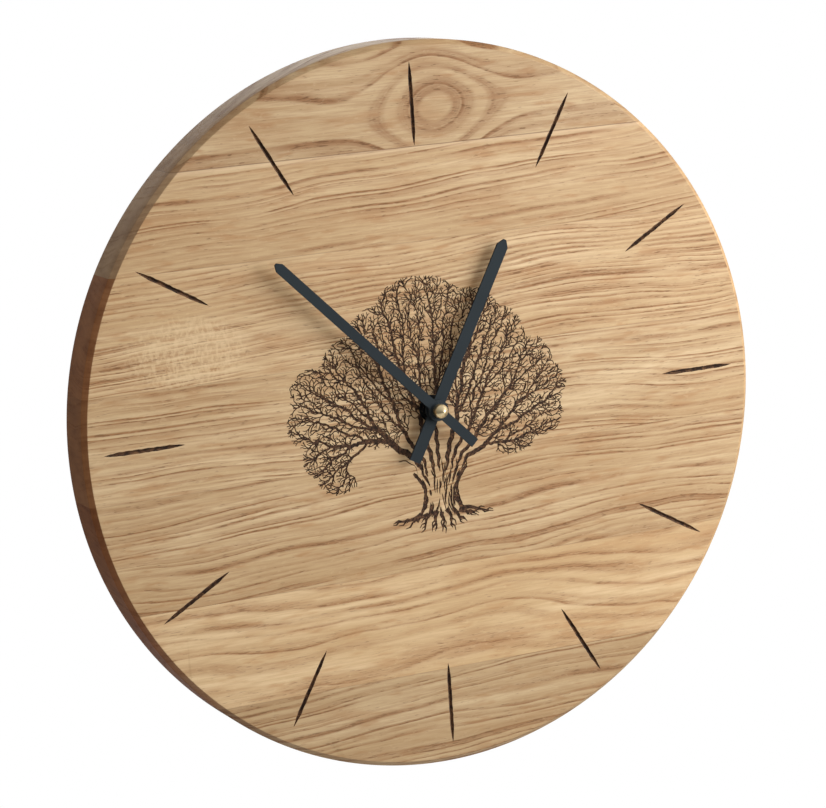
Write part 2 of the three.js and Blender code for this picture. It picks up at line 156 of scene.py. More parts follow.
def brighter(colour, factor):
    """The colour with each channel multiplied, and never above white."""
    return [min(1.0, channel * factor) for channel in colour[:3]] + [1.0]


# ---------------------------------------------------------------- oak
OAK_COLOURS = ((213, 185, 145), (189, 157, 115), (177, 134, 90), (150, 106, 66), (102, 68, 40))
SAPWOOD = (224, 196, 160)
# the right end's near-white colour is painted light: the lit side is kept pale where the end grain would be
# darker
RIGHT_END_INK_AND_PAINTED_LIGHT = (238, 226, 210)
END_BLOTCH = (196, 180, 168)


def oak(name, seed, low, high, pith_v, depth, pitch, wave, tone, amber, left_end_ink_and_shade, slope=0.0, tilt=0.0,
        hump=0.0, hump_u=0.0, hump_long=20.0, contrast=1.12, glue=(0.2, 0.2), pale_top=0.0, fleck_at=None):
    """Oak as one sawn board: rings round a pith line, pores along the grain, rays and pores in its colour.

    low and high are the heights of its two glued edges and glue says how dark each joint is.
    pith_v and depth place the pith line above the middle of the dial and behind its face. slope and tilt
    lean it along the board, and hump brings it nearer the face at one place, which gives an eye there.
    pitch is the width of a ring and wave is how far the rings wander. left_end_ink_and_shade colours the end
    grain on the left:
    the end grain's own darker colour with painted shade in it, for the side turned from the key light.
    pale_top adds a strip of sapwood under the upper joint, and fleck_at is the middle and the radii of a
    patch of ray fleck.
    """
    s = Shader(name)
    raw = s.place()
    shift = (seed * 0.73, seed * 0.31, seed * 0.57)
    x, y, z = s.split(raw)
    u = s.times(x, 1.0 / MM)
    v = s.math("MULTIPLY_ADD", z, 1.0 / MM, HOOK_RISE)
    w = s.times(y, -1.0 / MM)

    def grain(along, across, detail, roughness, distortion=0.0):
        """Noise with its own scale along the grain and across it, per metre."""
        return s.noise(s.scaled(raw, along, across, across, shift), 1.0, detail, roughness, distortion)

    broad = grain(8.0, 22.0, 1.0, 0.5)
    middle = grain(22.0, 62.0, 1.0, 0.5)
    fine = grain(80.0, 260.0, 1.0, 0.5)
    drift = s.math("MULTIPLY_ADD", s.minus(broad, 0.5), wave * 8.0,
                   s.times(s.minus(middle, 0.5), wave * 1.9))
    drift = s.math("MULTIPLY_ADD", s.minus(fine, 0.5), wave * 0.28, drift)
    along = s.minus(u, hump_u)
    pith = s.math("MULTIPLY_ADD", along, slope, pith_v)
    across = s.plus(s.minus(v, pith), drift)
    deep = s.math("MULTIPLY_ADD", along, tilt, depth)
    if hump:
        reach = s.math("DIVIDE", along, hump_long)
        fall = s.math("EXPONENT", s.times(s.times(reach, reach), -1.0))
        deep = s.math("MULTIPLY_ADD", fall, -hump, s.plus(deep, hump))
    deep = s.plus(deep, s.minus(w, THICK))
    deep = s.math("MULTIPLY_ADD", drift, 0.35, deep)
    ring = s.math("SQRT", s.plus(s.times(across, across), s.times(deep, deep)))
    ring = s.math("DIVIDE", ring, pitch)

    # Rings: each starts with a dark porous band that fades into denser, paler wood.
    phase = s.math("FRACT", s.plus(ring, s.times(s.noise_line(ring, 0.55, 2.0), 1.8)))
    early = s.times(s.steps(phase, 0.0, 0.18), s.steps(phase, 0.85, 0.18))
    uneven = s.steps(s.noise_line(ring, 1.3, 3.0, 0.7), 0.36, 0.62, 0.34, 1.0)
    early = s.times(early, uneven)
    faded = s.steps(grain(22.0, 110.0, 3.0, 0.55), 0.36, 0.60, 0.30, 1.0)
    early = s.times(early, faded)

    # Pores: short dashes along the grain, crowded into the early wood, and finer fibres everywhere.
    dash = grain(210.0, 2100.0, 2.0, 0.6)
    thread = grain(75.0, 1500.0, 3.0, 0.6)
    level = s.math("MULTIPLY_ADD", early, -0.20, 0.66)
    pores = s.steps(s.minus(dash, level), 0.0, 0.12)
    fibre = s.steps(thread, 0.40, 0.66)

    # Rays: small pale flakes that cross the grain.
    flake = grain(330.0, 900.0, 2.0, 0.5, 0.4)
    flakes = s.times(s.steps(flake, 0.60, 0.72), 0.4)
    if fleck_at:
        du = s.math("DIVIDE", s.minus(u, fleck_at[0]), fleck_at[2])
        dv = s.math("DIVIDE", s.minus(v, fleck_at[1]), fleck_at[3])
        far = s.plus(s.times(du, du), s.times(dv, dv))
        area = s.steps(far, 1.0, 0.3)
        weave = grain(700.0, 420.0, 2.0, 0.6, 0.3)
        flakes = s.math("MAXIMUM", flakes, s.times(area, s.steps(weave, 0.42, 0.62)))

    cloud = grain(6.0, 34.0, 3.0, 0.55)
    streak = grain(16.0, 400.0, 3.0, 0.6)
    stain = grain(17.0, 130.0, 3.0, 0.6, 0.3)
    blot = grain(60.0, 330.0, 2.0, 0.6, 0.2)
    pale, mid, warm, line, dark = (brighter(srgb(*colour), tone) for colour in OAK_COLOURS)
    colour = s.mix(s.steps(cloud, 0.32, 0.68), pale, mid)
    colour = s.mix(s.steps(streak, 0.36, 0.68, 0.0, 0.60 * contrast), colour, mid)
    colour = s.mix(s.steps(stain, 0.50, 0.72, 0.0, amber), colour, warm)
    colour = s.mix(s.steps(blot, 0.52, 0.74, 0.0, 0.55 * contrast), colour, warm)
    colour = s.mix(s.times(fibre, 0.20 * contrast), colour, line)
    colour = s.mix(s.times(early, 0.84 * contrast), colour, line)
    colour = s.mix(s.times(flakes, 0.50), colour, pale)
    colour = s.mix(s.times(pores, 0.45 * contrast), colour, dark)

    # A fine dark glue line at each joint, and on one board a paler strip of sapwood under it.
    below, above = s.minus(v, low), s.minus(high, v)
    if pale_top:
        colour = s.mix(s.steps(above, 0.8, 2.4, pale_top, 0.0), colour, srgb(*SAPWOOD))
    for edge, strength in zip((below, above), glue):
        colour = s.mix(s.steps(edge, 0.08, 0.32, strength, 0.0), colour, dark)

    # End grain drinks more oil and is darker, towards the board's two ends. Painted light and shade are laid
    # on it too:
    # the left end is painted darker as shade on the side turned from the key light, and the right end is
    # painted near white as light from the key.
    normal = s.split(s.add("NewGeometry", {})["Normal"])
    end = s.steps(s.math("ABSOLUTE", normal[0]), 0.15, 0.75)
    # painted shade on the left end and painted light on the right end, picked by which way the normal faces
    end_colour_and_side_shade = s.mix(s.steps(normal[0], -0.1, 0.1), srgb(*left_end_ink_and_shade), srgb(*RIGHT_END_INK_AND_PAINTED_LIGHT))
    blotch = s.noise(s.scaled(raw, 60.0, 60.0, 160.0, shift), 1.0, 3.0, 0.6)
    ends = s.mix(1.0, s.mix(0.35, pale, colour), end_colour_and_side_shade, "MULTIPLY")
    darker = s.mix(1.0, ends, srgb(*END_BLOTCH), "MULTIPLY")
    ends = s.mix(s.steps(blotch, 0.35, 0.70, 0.0, 0.55), ends, darker)
    colour = s.mix(end, colour, ends)

    rough = s.steps(s.math("MULTIPLY_ADD", early, 0.3, pores), 0.0, 1.0, 0.50, 0.72)
    s.set(Base_Color=colour, Roughness=rough, Specular_IOR_Level=0.3)
    height = s.minus(s.times(streak, 0.25), s.times(pores, 0.8))
    height = s.minus(height, s.times(early, 0.35))
    s.bump(height, 0.35, 0.00012)
    return s.material


def char(name, ink, seed, patches=900.0, share=0.0):
    """Burnt wood: nearly black, browner and lighter in patches where the burn was light.

    patches is how many patches there are in a metre, and share adds to how much of the burn they take.
    """
    s = Shader(name)
    raw = s.place()
    patch = s.noise(s.scaled(raw, patches, patches, patches, (seed, 0.0, 0.0)), 1.0, 3.0, 0.6)
    grain = s.noise(s.scaled(raw, 260.0, 3200.0, 3200.0, (seed, 0.0, 0.0)), 1.0, 2.0, 0.6)
    light = s.times(s.steps(patch, 0.50 - share, 0.70 - share), s.steps(grain, 0.40, 0.62))
    colour = s.mix(s.steps(patch, 0.35, 0.60, 0.0, 0.8), ink, srgb(80, 55, 40))
    colour = s.mix(s.times(light, 0.85), colour, srgb(128, 92, 62))
    s.set(Base_Color=colour, Roughness=s.steps(grain, 0.3, 0.7, 0.75, 0.95), Specular_IOR_Level=0.2)
    s.bump(grain, 0.5, 0.0001)
    return s.material


# ---------------------------------------------------------------- other materials
def coated(name, colour, roughness, scale, depth, variation, metallic=0.0, specular=0.5, coat=0.0):
    """Moulded, painted or plated surface: fine texture, slight colour and gloss variation."""
    s = Shader(name)
    raw = s.place()
    fine = s.noise(s.scaled(raw, scale, scale, scale), 1.0, 3.0, 0.6)
    broad = s.noise(s.scaled(raw, 45.0, 45.0, 45.0), 1.0, 2.0, 0.5)
    shade, lift = brighter(colour, 1.0 - variation), brighter(colour, 1.0 + variation)
    tone = s.mix(s.steps(broad, 0.3, 0.7), shade, lift)
    s.set(Base_Color=tone, Metallic=metallic, Specular_IOR_Level=specular, Coat_Weight=coat)
    s.set(Roughness=s.steps(fine, 0.25, 0.75, roughness - 0.06, roughness + 0.06))
    s.bump(fine, 0.4, depth)
    return s.material


TOOL_LINES = {"x": (60.0, 5200.0, 5200.0), "y": (5200.0, 260.0, 5200.0), "z": (5200.0, 5200.0, 60.0)}
WIRE_PITCH = 0.00022
BOARD_SCALE = 240.0
COPPER_END = 0.0135
COPPER_BLEND = 0.0002


def turned_metal(name, colour, roughness, axis):
    """Turned or drawn metal with fine circular or straight tool lines."""
    s = Shader(name)
    raw = s.place()
    lines = s.noise(s.scaled(raw, *TOOL_LINES[axis]), 1.0, 2.0, 0.5)
    dull = s.noise(s.scaled(raw, 120.0, 120.0, 120.0), 1.0, 3.0, 0.6)
    tone = s.mix(s.steps(dull, 0.35, 0.7), colour, brighter(colour, 0.86))
    s.set(Base_Color=tone, Metallic=1.0)
    s.set(Roughness=s.steps(s.plus(lines, s.times(dull, 0.5)), 0.5, 1.0,
                            roughness - 0.05, roughness + 0.12))
    s.bump(lines, 0.2, 0.00002)
    return s.material


def wound_wire(name):
    """Fine enamelled wire, wound in close turns across the coil."""
    s = Shader(name)
    x = s.split(s.place())[0]
    turns = s.math("SINE", s.times(x, 2.0 * math.pi / WIRE_PITCH))
    tone = s.mix(s.steps(turns, -1.0, 1.0), srgb(96, 40, 18), srgb(196, 104, 52))
    s.set(Base_Color=tone, Metallic=0.6, Roughness=0.35)
    s.bump(turns, 0.6, 0.00005)
    return s.material


def board_face(name):
    """Solder mask with faint traces under it."""
    s = Shader(name)
    x, _, z = s.split(s.place())
    cells = s.add("TexBrick", {
        "Vector": s.join(s.times(x, BOARD_SCALE), s.times(z, BOARD_SCALE), 0.0), "Scale": 1.0,
        "Mortar Size": 0.08, "Mortar": srgb(58, 128, 74),
        "Color1": srgb(22, 84, 50), "Color2": srgb(18, 72, 44)})
    s.set(Base_Color=cells["Color"], Roughness=0.32, Coat_Weight=0.4)
    s.bump(cells["Fac"], 0.3, 0.00003)
    return s.material


def battery_skin(name):
    """A plain printed sleeve: green over most of the cell and copper colour at the positive end."""
    s = Shader(name)
    raw = s.place()
    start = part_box("battery")[1][0] - COPPER_END
    band = s.steps(s.split(raw)[0], start, start + COPPER_BLEND)
    scuff = s.noise(s.scaled(raw, 180.0, 900.0, 900.0), 1.0, 4.0, 0.65)
    tone = s.mix(band, srgb(24, 92, 70), srgb(190, 118, 62))
    tone = s.mix(s.steps(scuff, 0.62, 0.80, 0.0, 0.35), tone, srgb(176, 184, 178))
    s.set(Base_Color=tone, Metallic=0.35, Coat_Weight=0.5)
    s.set(Roughness=s.steps(scuff, 0.3, 0.8, 0.26, 0.42))
    return s.material


# ---------------------------------------------------------------- meshes
def to_row(u, v, w):
    return (u * MM, -w * MM, (v - HOOK_RISE) * MM)


def new_object(name, points, faces, material_list, face_materials, smooth_angle):
    mesh = bpy.data.meshes.new(name)
    mesh.from_pydata([to_row(*p) for p in points], [], faces)
    for material in material_list:
        mesh.materials.append(material)
    mesh.polygons.foreach_set("material_index", face_materials)
    mesh.update()
    mesh.validate()
    piece = bpy.data.objects.new(name, mesh)
    scene.collection.objects.link(piece)
    mesh.polygons.foreach_set("use_smooth", [True] * len(mesh.polygons))
    mesh.set_sharp_from_angle(angle=math.radians(smooth_angle))
    return piece


# ---------------------------------------------------------------- the burnt tree
TREE_SEED = 11
CLUMPS = [  # centre u, v and radii of the masses of twigs that make up the crown
    (-3, 42, 19, 13), (-20, 33, 15, 12), (16, 36, 17, 12), (30, 27, 14, 12), (-33, 22, 14, 12),
    (-50, 13, 12, 10), (-55, 0, 9, 9), (-47, -14, 11, 9), (-43, -24, 9, 6), (-34, 2, 14, 11),
    (43, 14, 13, 11), (52, 3, 10, 10), (48, -9, 12, 9), (36, -18, 10, 6), (31, 3, 14, 11),
    (-16, 16, 16, 12), (14, 16, 16, 12), (-22, -6, 12, 8), (24, -8, 10, 7), (0, 24, 13, 10),
    (-10, 5, 9, 8), (13, 4, 9, 8), (1, 11, 9, 6),
]
LIMBS = [  # length, direction in degrees and place on the trunk's crown of each stub that grows on
    (13, 172, -10.0), (16, 152, -8.0), (17, 132, -5.5), (19, 112, -3.0), (20, 92, 0.0),
    (19, 68, 3.0), (17, 48, 5.5), (15, 28, 8.0), (12, 8, 10.0),
]
TRUNK_TOP = -26.5
TRUNK_FOOT = -46.0
TRUNK_U = 2.0
TWIG_STEP = 0.7
TWIG_REACH = 15.0
TWIG_KILL = 1.55
TWIG_HALF = 0.20
TWIG_ROOM = 0.88
TWIG_ROUNDS = 160
SIDE_TWIG_SHARE = 0.62
LIMB_HALF = 1.7
BARK_LINES = 64
ROOTS = 9
HUB_CLEAR = 5.0


def limb_points(length, direction, start):
    """A limb's first stretch, curving from the trunk's line to its own direction."""
    spot = np.array([TRUNK_U + start, TRUNK_TOP])
    path = []
    count = int(length / TWIG_STEP)
    for index in range(count):
        path.append(spot.copy())
        angle = math.radians(90 + (direction - 90) * min(1.0, 0.15 + 1.1 * index / count))
        angle += 0.35 * math.sin(index * 0.8 + start)
        spot = spot + TWIG_STEP * np.array([math.cos(angle), math.sin(angle)])
    return path


def grow_tree(rng):
    """Nodes and parents of a tree grown towards points scattered through the crown."""
    goals = []
    for cu, cv, ru, rv in CLUMPS:
        for _ in range(int(ru * rv)):
            angle = rng.uniform(0, 2 * math.pi)
            reach = rng.random() ** 0.5
            goals.append((cu + ru * reach * math.cos(angle), cv + rv * reach * math.sin(angle)))
    goals = np.array(goals)
    nodes, parents = [], []
    for limb in LIMBS:
        last = -1
        for point in limb_points(*limb):
            nodes.append(point)
            parents.append(last)
            last = len(nodes) - 1
    near = np.full(len(goals), -1)
    gap = np.full(len(goals), 1e9)
    fresh = 0
    for _ in range(TWIG_ROUNDS):
        new = np.array(nodes[fresh:])
        reach = np.linalg.norm(goals[:, None, :] - new[None, :, :], axis=2)
        best = reach.argmin(axis=1)
        closer = reach[np.arange(len(goals)), best] < gap
        near[closer] = best[closer] + fresh
        gap = np.minimum(gap, reach[np.arange(len(goals)), best])
        keep = gap > TWIG_KILL
        goals, near, gap = goals[keep], near[keep], gap[keep]
        fresh = len(nodes)
        pull = {}
        for goal, index, far in zip(goals, near, gap):
            if far < TWIG_REACH:
                pull.setdefault(int(index), []).append((goal - nodes[index]) / far)
        if not pull:
            break
        for index, ways in pull.items():
            way = np.sum(ways, axis=0)
            way = way / max(1e-6, np.linalg.norm(way))
            way = way + np.array([rng.uniform(-0.75, 0.75), rng.uniform(-0.6, 0.8)])
            length = np.linalg.norm(way)
            if length < 1e-6:
                continue
            spot = nodes[index] + way / length * TWIG_STEP
            nodes.append(spot)
            parents.append(index)
    return nodes, parents


def thickness(nodes, parents):
    """Half width at each node: branches carry what grows from them."""
    load = [0.0] * len(nodes)
    children = [0] * len(nodes)
    for index in range(len(nodes) - 1, -1, -1):
        if children[index] == 0:
            load[index] = 1.0
        if parents[index] >= 0:
            load[parents[index]] += load[index]
            children[parents[index]] += 1
    return [min(LIMB_HALF, TWIG_HALF * value ** 0.42) for value in load], children


def in_crown(spot, margin=1.0):
    """Whether a point is inside one of the crown's masses."""
    return any(((spot[0] - cu) / ru) ** 2 + ((spot[1] - cv) / rv) ** 2 < margin for cu, cv, ru, rv in CLUMPS)


def stroke(a, b, half_a, half_b):
    """A tapered four-cornered stroke from a to b, its ends carried on a little."""
    way = b - a
    length = max(1e-6, float(np.hypot(way[0], way[1])))
    way = way / length
    side = np.array([-way[1], way[0]])
    a = a - way * half_a * 0.5
    b = b + way * half_b * 0.5
    return [a - side * half_a, b - side * half_b, b + side * half_b, a + side * half_a]


def fork(spot, angle, length, half, level, taken, rng, out):
    """A twig that splits in two, again and again, where there is room in the crown."""
    turn = math.radians(rng.uniform(-10, 10))
    end = spot + length * np.array([math.cos(angle + turn), math.sin(angle + turn)])
    cell = (int(end[0] / TWIG_ROOM), int(end[1] / TWIG_ROOM))
    if cell in taken or not in_crown(end, 1.08):
        return
    taken.add(cell)
    out.append(stroke(spot, end, half, half * 0.82))
    if level == 0:
        return
    spread = math.radians(rng.uniform(20, 34))
    for side in (-1, 1):
        fork(end, angle + turn + side * spread, length * rng.uniform(0.75, 1.0), half * 0.88,
             level - 1, taken, rng, out)


def outward(spot):
    """The direction in which leafy twigs point: away from the middle of the crown, and up."""
    return math.atan2(spot[1] + 14.0, spot[0] * 1.1 - TRUNK_U)


def leaf_strokes(nodes, parents, children, rng):
    """Leafy twigs at the ends of the branches and along some of them."""
    out = []
    taken = set()
    order = list(range(len(nodes)))
    rng.shuffle(order)
    for index in order:
        back = parents[index]
        if back < 0 or not in_crown(nodes[index], 1.0):
            continue
        way = nodes[index] - nodes[back]
        grown, away = math.atan2(way[1], way[0]), outward(nodes[index])
        angle = math.atan2(math.sin(grown) + 1.6 * math.sin(away), math.cos(grown) + 1.6 * math.cos(away))
        if children[index] == 0:
            for turn in (-0.6, 0.0, 0.6):
                fork(nodes[index], angle + turn, 1.5, 0.27, 3, taken, rng, out)
        elif rng.random() < SIDE_TWIG_SHARE:
            side = rng.choice((-1, 1))
            fork(nodes[index], angle + side * rng.uniform(0.2, 0.8), 1.8, 0.29, 4, taken, rng, out)
    return out


def ribbon(path, halves):
    """Strokes end to end along a path, with the half width at each point."""
    return [stroke(np.array(a), np.array(b), p, q)
            for a, b, p, q in zip(path, path[1:], halves, halves[1:])]


def trunk_side(side, t):
    """The trunk's edge at height t, 0 at the ground and 1 at the limbs: flared at both ends."""
    half = 7.0 + 4.6 * (1 - t) ** 4 + 4.4 * max(0.0, t - 0.60) ** 1.5 * 4
    return (TRUNK_U + side * half, TRUNK_FOOT + (TRUNK_TOP - TRUNK_FOOT) * t)


def trunk_strokes(rng):
    """Outline, bark lines and roots of the trunk."""
    out = []
    for side in (-1, 1):
        path = [trunk_side(side, 1.02 * i / 20) for i in range(21)]
        out += ribbon(path, [0.50 + 0.35 * math.sin(i * 1.3 + side) ** 2 for i in range(21)])
    for line in range(BARK_LINES):
        place = rng.uniform(-0.97, 0.97)
        heavy = abs(place - 0.12) ** 1.3
        low = rng.uniform(0.0, 0.95)
        high = min(1.45 - 0.3 * abs(place), low + rng.uniform(0.14, 0.42))
        count = 7
        path, halves = [], []
        for i in range(count):
            t = low + (high - low) * i / (count - 1)
            edge = trunk_side(1, min(t, 1.05))[0] - TRUNK_U
            u = TRUNK_U + place * edge + 0.5 * math.sin(9 * t + line)
            path.append((u, trunk_side(1, t)[1]))
            halves.append(0.07 + (0.15 + 0.42 * heavy) * math.sin(math.pi * i / (count - 1)))
        out += ribbon(path, halves)
    for root in range(ROOTS):
        aim = -1 + 2 * root / (ROOTS - 1)
        reach = 8.0 + 9.0 * abs(aim)
        start = (TRUNK_U + aim * 10.0, TRUNK_FOOT + 2.5)
        path, halves = [], []
        for i in range(9):
            t = i / 8
            path.append((start[0] + aim * reach * 0.75 * t + 0.5 * math.sin(7 * t + root),
                         start[1] - (2.6 + 5.6 * (1 - abs(aim))) * t - 0.6 * math.sin(5 * t + 2 * root)))
            halves.append(0.80 * (1 - t) + 0.16)
        out += ribbon(path, halves)
        for part, side in ((3, -1), (4, 1), (5, -1), (6, 1)):
            tip = path[part]
            turn = math.atan2(-(2.5 + 4 * (1 - abs(aim))), aim * reach * 0.75) + side * 0.6
            size = rng.uniform(1.4, 2.1)
            out += ribbon([tip, (tip[0] + size * math.cos(turn), tip[1] + size * math.sin(turn)),
                           (tip[0] + 1.9 * size * math.cos(turn - side * 0.4),
                            tip[1] + 1.9 * size * math.sin(turn - side * 0.4))],
                          [0.42, 0.30, 0.12])
    return out


def tree_strokes(rng):
    """Every stroke of the drawing, none of them under the hub's washer."""
    nodes, parents = grow_tree(rng)
    halves, children = thickness(nodes, parents)
    first = 0
    for length, _, _ in LIMBS:
        for place in range(int(length / TWIG_STEP)):
            halves[first + place] *= min(1.0, 0.25 + 0.09 * place)
        first += int(length / TWIG_STEP)
    age = [0] * len(nodes)
    strokes = []
    for index, back in enumerate(parents):
        if back < 0:
            continue
        age[index] = age[back] + 1
        if children[index] != 1 or age[index] % 2 == 0:
            while parents[back] >= 0 and children[back] == 1 and age[back] % 2:
                back = parents[back]
            strokes.append(stroke(nodes[back], nodes[index], halves[back], halves[index]))
    strokes += leaf_strokes(nodes, parents, children, rng)
    strokes += trunk_strokes(rng)
    return [quad for quad in strokes if min(math.hypot(p[0], p[1]) for p in quad) > HUB_CLEAR]


# ---------------------------------------------------------------- building by coordinates
SLIVER = 0.0015     # corners nearer than this become one
FIN_AREA = 0.01     # a face smaller than this with an open edge is a leftover


class Builder:
    """Collects faces given by dial coordinates and merges their corners."""

    def __init__(self):
        self.points = []
        self.index = {}
        self.faces = []
        self.kinds = []

    def corner(self, point):
        key = (round(point[0], 3), round(point[1], 3), round(point[2], 3))
        if key not in self.index:
            self.index[key] = len(self.points)
            self.points.append(point)
        return self.index[key]

    def face(self, corners, kind=0):
        ids = []
        for corner in corners:
            number = self.corner(corner)
            if not ids or ids[-1] != number:
                ids.append(number)
        if len(ids) > 1 and ids[0] == ids[-1]:
            ids.pop()
        if len(set(ids)) > 2 and len(set(ids)) == len(ids):
            self.faces.append(ids)
            self.kinds.append(kind)

    def piece(self, name, material_list, smooth_angle):
        piece = new_object(name, self.points, self.faces, material_list, self.kinds, smooth_angle)
        mesh = piece.data
        shape = bmesh.new()
        shape.from_mesh(mesh)
        bmesh.ops.remove_doubles(shape, verts=shape.verts, dist=SLIVER * MM)
        fins = [face for face in shape.faces if face.calc_area() < FIN_AREA * MM * MM
                and any(edge.is_boundary for edge in face.edges)]
        bmesh.ops.delete(shape, geom=fins, context="FACES")
        bmesh.ops.recalc_face_normals(shape, faces=shape.faces)
        shape.to_mesh(mesh)
        shape.free()
        return piece


def covered(points, polygon):
    """Which of the points lie inside a polygon."""
    inside = np.zeros(len(points), dtype=bool)
    for (x0, y0), (x1, y1) in zip(polygon, list(polygon[1:]) + [polygon[0]]):
        if y0 == y1:
            continue
        crosses = (points[:, 1] >= min(y0, y1)) & (points[:, 1] < max(y0, y1))
        inside ^= crosses & (points[:, 0] < x0 + (points[:, 1] - y0) * (x1 - x0) / (y1 - y0))
    return inside


def inked_points(points, strokes, cell=2.0):
    """Which of the points lie under at least one four-cornered stroke."""
    inked = np.zeros(len(points), dtype=bool)
    order = {}
    for number, key in enumerate(map(tuple, np.floor(points / cell).astype(int))):
        order.setdefault(key, []).append(number)
    for quad in strokes:
        quad = np.array(quad, dtype=float)
        low, high = np.floor(quad.min(axis=0) / cell), np.floor(quad.max(axis=0) / cell)
        near = []
        for i in range(int(low[0]), int(high[0]) + 1):
            for j in range(int(low[1]), int(high[1]) + 1):
                near += order.get((i, j), [])
        if not near:
            continue
        near = np.array(near)
        near = near[~inked[near]]
        ahead = np.roll(quad, -1, axis=0) - quad
        away = points[near][:, None, :] - quad[None, :, :]
        turn = ahead[None, :, 0] * away[:, :, 1] - ahead[None, :, 1] * away[:, :, 0]
        inked[near[(turn >= 0).all(axis=1) | (turn <= 0).all(axis=1)]] = True
    return inked


def triangles(outline, patches, strokes=(), keels=()):
    """Splits a flat outline with its patches, strokes and keels into triangles.

    Gives the corners, the triangles and for each triangle the number of the last patch it lies in:
    0 for none, 1 for the first patch and one more than the number of patches for a stroke.
    """
    spots, faces, edges = [], [], []
    for loop in [outline, *patches, *strokes]:
        start = len(spots)
        spots += [Vector((float(p[0]), float(p[1]))) for p in loop]
        faces.append(list(range(start, len(spots))))
    for keel in keels:
        start = len(spots)
        spots += [Vector(p) for p in keel]
        edges += [(start + i, start + i + 1) for i in range(len(keel) - 1)]
    found = delaunay_2d_cdt(spots, edges, faces, 0, 0.00001, True)
    corners = np.array([(p.x, p.y) for p in found[0]])
    split = np.array(found[2])
    split = split[covered(corners[split].mean(axis=1), outline)]
    middles = corners[split].mean(axis=1)
    kinds = np.where(inked_points(middles, strokes), len(patches) + 1, 0)
    for number, patch in enumerate(patches):
        kinds[covered(middles, patch)] = number + 1
    return [tuple(map(float, p)) for p in corners], split.tolist(), kinds.tolist()


def circle(radius, count):
    return [(radius * math.cos(2 * math.pi * i / count), radius * math.sin(2 * math.pi * i / count))
            for i in range(count)]


# ---------------------------------------------------------------- hour marks
MARK_INNER, MARK_OUTER = 107.7, 141.7
MARK_HALF, MARK_DEPTH, MARK_TAPER = 0.82, 0.9, 6.5
MARK_STATIONS = 26
MARK_UNEVEN = 0.13


class Mark:
    """A V-shaped groove with a slightly uneven burnt outline."""

    def __init__(self, hour, rng):
        angle = math.radians(90 - 30 * hour)
        self.way = (math.cos(angle), math.sin(angle))
        self.side = (-self.way[1], self.way[0])
        self.halves = []
        for i in range(MARK_STATIONS + 1):
            far = (MARK_OUTER - MARK_INNER) * min(i, MARK_STATIONS - i) / MARK_STATIONS
            grow = min(1.0, far / MARK_TAPER) ** 0.7
            self.halves.append([MARK_HALF * grow * (1 + rng.uniform(-MARK_UNEVEN, MARK_UNEVEN))
                                for _ in range(2)])

    def spot(self, along, across):
        return (self.way[0] * along + self.side[0] * across, self.way[1] * along + self.side[1] * across)

    def stations(self):
        reach = MARK_OUTER - MARK_INNER
        return [MARK_INNER + reach * i / MARK_STATIONS for i in range(MARK_STATIONS + 1)]

    def outline(self):
        rows = list(zip(self.stations(), self.halves))
        left = [self.spot(r, -h[0]) for r, h in rows]
        right = [self.spot(r, h[1]) for r, h in reversed(rows[1:-1])]
        return left + right

    def keel(self):
        return [self.spot(r, 0.0) for r in self.stations()]

    def depth(self, u, v):
        along = u * self.way[0] + v * self.way[1]
        across = u * self.side[0] + v * self.side[1]
        step = (along - MARK_INNER) / (MARK_OUTER - MARK_INNER) * MARK_STATIONS
        if step <= 0 or step >= MARK_STATIONS or abs(across) > 2:
            return 0.0
        low = min(int(step), MARK_STATIONS - 1)
        part = step - low
        pick = 0 if across < 0 else 1
        half = self.halves[low][pick] * (1 - part) + self.halves[low + 1][pick] * part
        if half < 1e-4:
            return 0.0
        full = MARK_DEPTH * min(1.0, half / MARK_HALF)
        return full * max(0.0, 1 - abs(across) / half)


# ---------------------------------------------------------------- oak staves
JOINTS = [-RADIUS, -110.0, -66.3, -20.0, 23.0, 69.0, 107.5, RADIUS]
ARC_STEPS = 90
STAVE_SMOOTH = 30.0
BURN_DEPTH = 0.25
POCKET_HALF = 29.0
POCKET_DEEP = 16.4
RECESS_DEEP = 1.7
HEAD_POCKET_DEEP = 8.0
BORE = 4.2
HOLE = circle(BORE, 40)
POCKET = [(-POCKET_HALF, -POCKET_HALF), (POCKET_HALF, -POCKET_HALF),
          (POCKET_HALF, POCKET_HALF), (-POCKET_HALF, POCKET_HALF)]


def rounded(u0, u1, v0, v1, radius, steps=6):
    points = []
    for cu, cv, start in ((u1 - radius, v0 + radius, -90), (u1 - radius, v1 - radius, 0),
                          (u0 + radius, v1 - radius, 90), (u0 + radius, v0 + radius, 180)):
        for i in range(steps + 1):
            angle = math.radians(start + 90 * i / steps)
            points.append((cu + radius * math.cos(angle), cv + radius * math.sin(angle)))
    return points


RECESS = rounded(-8.3, 8.3, 72.2, 105.8, 4.0)
HEAD_POCKET = [(-5.2, 80.5), (5.2, 80.5), (5.2, 98.6), (-5.2, 98.6)]


def stave_outline(radius, low, high):
    """The outline of the part of a disc between two heights, its right arc first."""
    start = math.asin(max(-1.0, low / radius))
    end = math.asin(min(1.0, high / radius))
    right = []
    for i in range(ARC_STEPS + 1):
        angle = start + (end - start) * i / ARC_STEPS
        right.append((radius * math.cos(angle), radius * math.sin(angle)))
    left = [(-u, v) for u, v in reversed(right)]
    if high >= radius:
        left = left[1:]
    if low <= -radius:
        left = left[:-1]
    return right, left


def edge_profile():
    """Rings of the board's edge, front to back: radius and w. Both corners of the chamfer are eased."""
    face, rim = RADIUS - FRONT_CHAMFER, THICK - FRONT_CHAMFER
    return [(face - 0.15, THICK), (face + 0.03, THICK - 0.04), (face + 0.15, THICK - 0.15),
            (RADIUS - 0.15, rim + 0.15), (RADIUS - 0.04, rim), (RADIUS, rim - 0.2),
            (RADIUS, 12.0), (RADIUS, 6.0), (RADIUS, BACK_CHAMFER), (RADIUS - BACK_CHAMFER, 0.0)]


